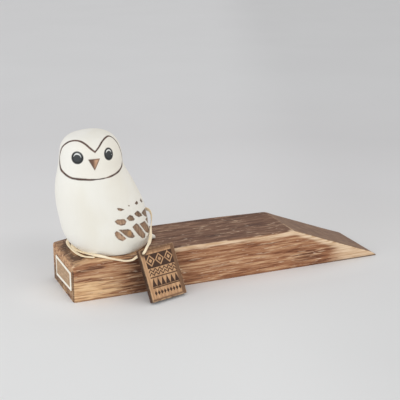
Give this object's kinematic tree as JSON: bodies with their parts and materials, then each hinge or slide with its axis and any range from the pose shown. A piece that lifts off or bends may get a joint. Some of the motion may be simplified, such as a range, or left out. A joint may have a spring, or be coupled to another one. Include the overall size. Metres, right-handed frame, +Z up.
{
  "type": "owl door stop",
  "caption": "Carved white-painted owl with burnt face and wing marks on a long burnt-wood door wedge, with a wooden hang tag tied round it by a straw cord.",
  "frame": {"origin": "on the floor, under the middle of the box of the wedge and the owl", "axes": "+X along the wedge from the owl to the thin end, +Z up, and the owl's face and the tag on the -Y side"},
  "size_m": [0.293, 0.0921, 0.1369],
  "materials": {
    "burnt_wood": "brushed, burnt and waxed wood, paler at the rubbed edges",
    "white_paint": "white paint on carved wood, with burnt lines and bare feather marks",
    "label_wood": "thin wood plate with a cream edge",
    "tag_wood": "burnt wood with rubbed edges and engraved lines",
    "screw_steel": "bright zinc",
    "straw": "twisted straw fibre"
  },
  "bodies": {
    "doorstop": {"wedge_base": "burnt_wood", "owl_figure": "white_paint", "end_label": "label_wood", "screw_front": "screw_steel", "screw_rear": "screw_steel", "cord_tail": "straw", "cord_wrap": "straw", "cord_return": "straw", "cord_knot": "straw"},
    "tag": {"hang_tag": "tag_wood", "cord_tag_loop": "straw"}
  },
  "joints": [
    {"name": "tag_swing", "type": "hinge", "parent": "doorstop", "child": "tag", "pos_m": [-0.087, -0.0399, 0.03807], "axis": [-0.9613, -0.2756, 0], "range_deg": [0, 60], "deforming": ["cord_tag_loop"]}
  ]
}
